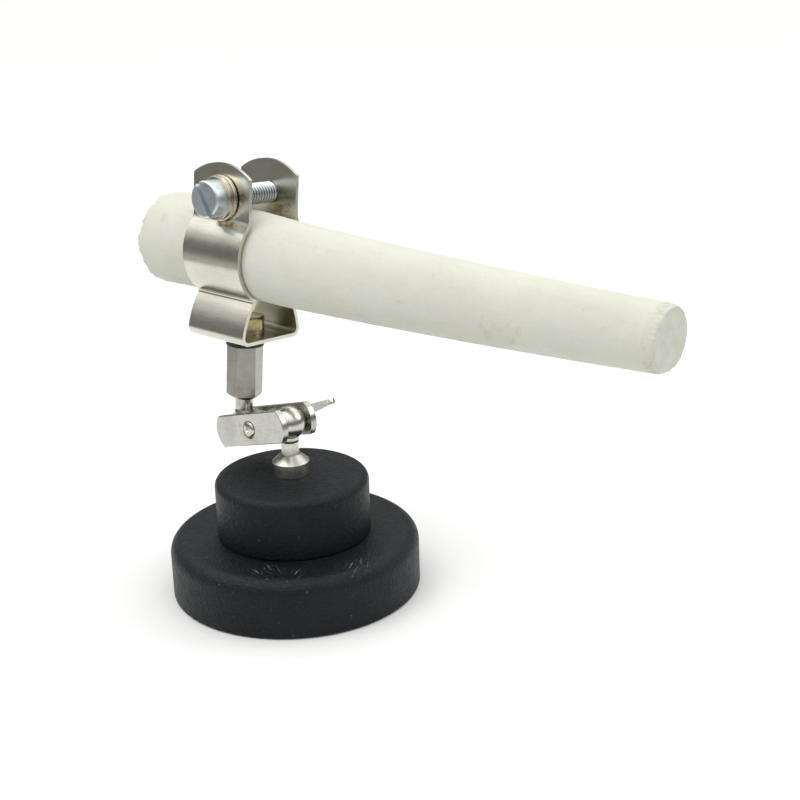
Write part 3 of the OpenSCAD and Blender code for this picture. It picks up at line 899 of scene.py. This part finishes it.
class BuildRod(bpy.types.Operator):
    """Cast the rough tapered rod, with its bow and its chipped ends"""
    bl_idname = "rod_holder.rod"
    bl_label = "Rod"

    def execute(self, context):
        looks = context.scene.rod_holder_rod
        place = rod_axes()
        back, front = ROD_BACK, ROD_FRONT
        seed = Vector((looks.seed * 3.7, 1.3, 5.1))

        def radius(t):
            return ROD_RADIUS - ROD_TAPER * t

        def smooth(value, low, high):
            u = min(1.0, max(0.0, (value - low) / (high - low)))
            return u * u * (3 - 2 * u)

        def sag(t):
            return -looks.bow * (1 - ((t - 50) / 75) ** 2) * smooth(t, -14, 22)

        def chipped(theta, t):
            """How much of the radius is missing at this place."""
            ring = Vector((math.cos(theta), math.sin(theta), 0))
            wear = 0.05 * (0.5 + 0.5 * noise.noise(Vector((t * 0.11, 0, 0)) + ring * 1.7 + seed))
            wear += 0.035 * (0.5 + 0.5 * noise.noise(Vector((t * 0.6, 0, 0)) + ring * 5 + seed))
            from_front = front - t
            broad = 0.5 + 0.5 * noise.noise(ring * 1.6 + seed * 2)
            fine = 0.5 + 0.5 * noise.noise(ring * 5.5 + seed * 3)
            reach = 0.9 + 1.5 * broad * fine + 0.7 * max(0.0, noise.noise(ring * 9 + seed))
            if from_front < reach:
                wear += looks.chips * 0.85 * reach * (1 - from_front / reach) ** 1.15 * 0.62
            from_back = t - back
            rough = 1.6 + 2.4 * (0.5 + 0.5 * noise.noise(ring * 2.1 + seed * 4))
            if from_back < rough:
                lost = (1 - from_back / rough) ** 1.8
                jag = 0.55 + 0.75 * noise.noise(ring * 10 + seed * 5 + Vector((t * 1.3, 0, 0)))
                wear += looks.chips * rough * lost * 0.42 * jag
            return wear

        stations = [back + d for d in (0.0, 0.12, 0.35, 0.7, 1.2, 1.8, 2.5, 3.3, 4.2)]
        t = back + 5.2
        while t < front - 4.2:
            stations.append(t)
            t += 1.15
        stations += [front - d for d in (4.0, 3.3, 2.7, 2.2, 1.8, 1.45, 1.1, 0.8, 0.55, 0.32, 0.14, 0.0)]
        segments = 176
        bm = bmesh.new()
        rings = []
        for t in stations:
            drop = sag(t)
            ring = []
            for k in range(segments):
                a = math.tau * k / segments
                r = radius(t) - chipped(a, t)
                ring.append(bm.verts.new((t * MM, r * math.cos(a) * MM, (r * math.sin(a) + drop) * MM)))
            rings.append(ring)

        def cap(ring, t, inward):
            """Rings that close an end with a rough face."""
            drop = sag(t)
            last = ring
            made = []
            for share in (0.97, 0.9, 0.78, 0.62, 0.45, 0.28, 0.12):
                new = []
                for k in range(segments):
                    a = math.tau * k / segments
                    edge = radius(t) - chipped(a, t)
                    r = edge * share
                    spot = Vector((r * math.cos(a), r * math.sin(a), t))
                    dent = (
                        0.1 * (1 - share) ** 0.5
                        + 0.16 * max(0.0, noise.noise(spot * 0.35 + seed))
                        + 0.05 * max(0.0, noise.noise(spot * 1.4))
                    )
                    new.append(bm.verts.new(((t + inward * dent) * MM, spot.x * MM, (spot.y + drop) * MM)))
                made.append((last, new))
                last = new
            middle = bm.verts.new(((t + inward * 0.12) * MM, 0, drop * MM))
            return made, last, middle

        for low, high in zip(rings, rings[1:]):
            for k in range(segments):
                n = (k + 1) % segments
                bm.faces.new((low[k], low[n], high[n], high[k]))
        for ring, t, inward in ((rings[0], back, 1), (rings[-1], front, -1)):
            made, last, middle = cap(ring, t, inward)
            for low, high in made:
                for k in range(segments):
                    n = (k + 1) % segments
                    bm.faces.new((low[k], low[n], high[n], high[k]))
            for k in range(segments):
                bm.faces.new((last[k], last[(k + 1) % segments], middle))
        bmesh.ops.recalc_face_normals(bm, faces=bm.faces)
        bm.transform(place)
        rod = new_piece("ceramic_rod", to_mesh(bm, "rod"), 38)
        settle(rod, "rod", ["rod"], bisque("bisque", tuple(looks.tint), tuple(looks.end_face_shade_tint)))
        return {"FINISHED"}


class BuildStage(bpy.types.Operator):
    """Lay the pale floor, set the soft light and place the camera"""
    bl_idname = "rod_holder.stage"
    bl_label = "Stage"

    def execute(self, context):
        looks = context.scene.rod_holder_stage
        scene = context.scene
        scene.view_settings.view_transform = "Standard"
        scene.view_settings.look = "None"
        floor_mesh = bpy.data.meshes.new("floor")
        half = 30.0
        corners = [(-half, -half, 0), (half, -half, 0), (half, half, 0), (-half, half, 0)]
        floor_mesh.from_pydata(corners, [], [(0, 1, 2, 3)])
        floor = bpy.data.objects.new("floor", floor_mesh)
        scene.collection.objects.link(floor)
        f = Finish("floor paper")
        floor_mesh.materials.append(f.shade(
            Base_Color=f.mix(f.grain(40, 3), tuple(looks.floor), tuple(c * 0.995 for c in looks.floor)),
            Roughness=0.9, Specular_IOR_Level=0.0,
        ))

        # dark flags: only mirror-like surfaces see them
        flag = bpy.data.objects.new("flags", turned(
            [(285, 1), (1500, 1), (1500, 330), (1490, 330), (1490, 3), (285, 3)], Matrix.Identity(4), 64, True))
        scene.collection.objects.link(flag)
        cloth = Finish("flag cloth")
        reach = cloth.distance(cloth.place)
        tone = cloth.mix(cloth.fade(reach, 0.32, 0.9), (0.36, 0.36, 0.35), (0.2, 0.2, 0.195))
        tone = cloth.mix(cloth.fade(reach, 0.315, 0.29), tone, (0.02, 0.02, 0.02))
        flag.data.materials.append(cloth.shade(Base_Color=tone, Roughness=1.0, Specular_IOR_Level=0.0))
        flag.visible_camera = False
        flag.visible_diffuse = False
        flag.visible_shadow = False
        flag.visible_transmission = False

        world = bpy.data.worlds.new("soft sky")
        scene.world = world
        world.use_nodes = True
        tree = world.node_tree
        ground = tree.nodes["Background"]
        coords = tree.nodes.new("ShaderNodeTexCoord")
        split = tree.nodes.new("ShaderNodeSeparateXYZ")
        tree.links.new(coords.outputs["Generated"], split.inputs[0])
        ramp = tree.nodes.new("ShaderNodeValToRGB")
        ramp.color_ramp.interpolation = "EASE"
        stops = ((0.0, 0.20), (0.24, 0.24), (0.44, 0.72), (0.62, 1.45), (1.0, 1.72))
        for i, (at, light) in enumerate(stops):
            stop = ramp.color_ramp.elements[i] if i < 2 else ramp.color_ramp.elements.new(at)
            stop.position = at
            stop.color = (light, light, light * 0.99, 1)
        tree.links.new(split.outputs["Z"], ramp.inputs[0])
        # the camera itself sees plain white past the floor's edge
        path = tree.nodes.new("ShaderNodeLightPath")
        seen = tree.nodes.new("ShaderNodeMix")
        seen.data_type = "RGBA"
        seen.inputs[7].default_value = (1, 1, 1, 1)
        tree.links.new(path.outputs["Is Camera Ray"], seen.inputs[0])
        tree.links.new(ramp.outputs[0], seen.inputs[6])
        tree.links.new(seen.outputs[2], ground.inputs["Color"])
        ground.inputs["Strength"].default_value = looks.sky

        for name, place, size, power in (
            ("top softbox", (-0.35, -0.15, 0.75), 0.45, 1.3),
            ("right softbox", (0.75, 0.1, 0.45), 0.4, 1.1),
        ):
            lamp = bpy.data.lights.new(name, "AREA")
            lamp.shape = "SQUARE"
            lamp.size = size
            lamp.energy = power
            box = bpy.data.objects.new(name, lamp)
            box.location = place
            box.rotation_euler = (Vector((0, 0, 0.06)) - Vector(place)).to_track_quat("-Z", "Y").to_euler()
            scene.collection.objects.link(box)

        pitch = math.radians(19.236)
        roll = math.radians(-1.7375)
        ahead = Vector((0, math.cos(pitch), -math.sin(pitch)))
        level = Vector((1, 0, 0))
        above = Vector((0, math.sin(pitch), math.cos(pitch)))
        right = level * math.cos(roll) + above * math.sin(roll)
        up = above * math.cos(roll) - level * math.sin(roll)
        lens = bpy.data.cameras.new("camera")
        lens.sensor_width = 36
        lens.lens = 65.156
        lens.clip_start = 0.01
        lens.clip_end = 60
        camera = bpy.data.objects.new("camera", lens)
        camera.matrix_world = axes_at(Vector((0.030814, -0.37460, 0.18460)), right, up, -ahead)
        scene.collection.objects.link(camera)
        scene.camera = camera
        return {"FINISHED"}


class RodHolderPanel(bpy.types.Panel):
    """Lists the steps that build the rod holder"""
    bl_idname = "VIEW3D_PT_rod_holder"
    bl_label = "Rod Holder"
    bl_space_type = "VIEW_3D"
    bl_region_type = "UI"
    bl_category = "Rod Holder"

    def draw(self, context):
        layout = self.layout
        for settings, steps in LAYOUT:
            box = layout.box()
            group = getattr(context.scene, settings)
            for name in group.__annotations__:
                box.prop(group, name)
            for step in steps:
                box.operator(step.bl_idname)


LAYOUT = (
    ("rod_holder_foot", (BuildFoot,)),
    ("rod_holder_metal", (
        BuildStuds, BuildPlates, BuildWing, BuildStandoff, BuildClip, BuildHardware, BuildClampScrew,
    )),
    ("rod_holder_rod", (BuildRod,)),
    ("rod_holder_stage", (BuildStage,)),
)
GROUPS = (
    ("rod_holder_foot", RodHolderFoot),
    ("rod_holder_metal", RodHolderMetal),
    ("rod_holder_rod", RodHolderRod),
    ("rod_holder_stage", RodHolderStage),
)
STEPS = tuple(step for _, steps in LAYOUT for step in steps)


def register():
    for name, group in GROUPS:
        bpy.utils.register_class(group)
        setattr(bpy.types.Scene, name, PointerProperty(type=group))
    for step in STEPS:
        bpy.utils.register_class(step)
    bpy.utils.register_class(RodHolderPanel)


def unregister():
    bpy.utils.unregister_class(RodHolderPanel)
    for step in reversed(STEPS):
        bpy.utils.unregister_class(step)
    for name, group in reversed(GROUPS):
        delattr(bpy.types.Scene, name)
        bpy.utils.unregister_class(group)


def build():
    register()
    bpy.ops.rod_holder.foot()
    bpy.ops.rod_holder.studs()
    bpy.ops.rod_holder.plates()
    bpy.ops.rod_holder.wing()
    bpy.ops.rod_holder.standoff()
    bpy.ops.rod_holder.clip()
    bpy.ops.rod_holder.hardware()
    bpy.ops.rod_holder.clamp_screw()
    bpy.ops.rod_holder.rod()
    bpy.ops.rod_holder.stage()


if __name__ == "__main__":
    build()
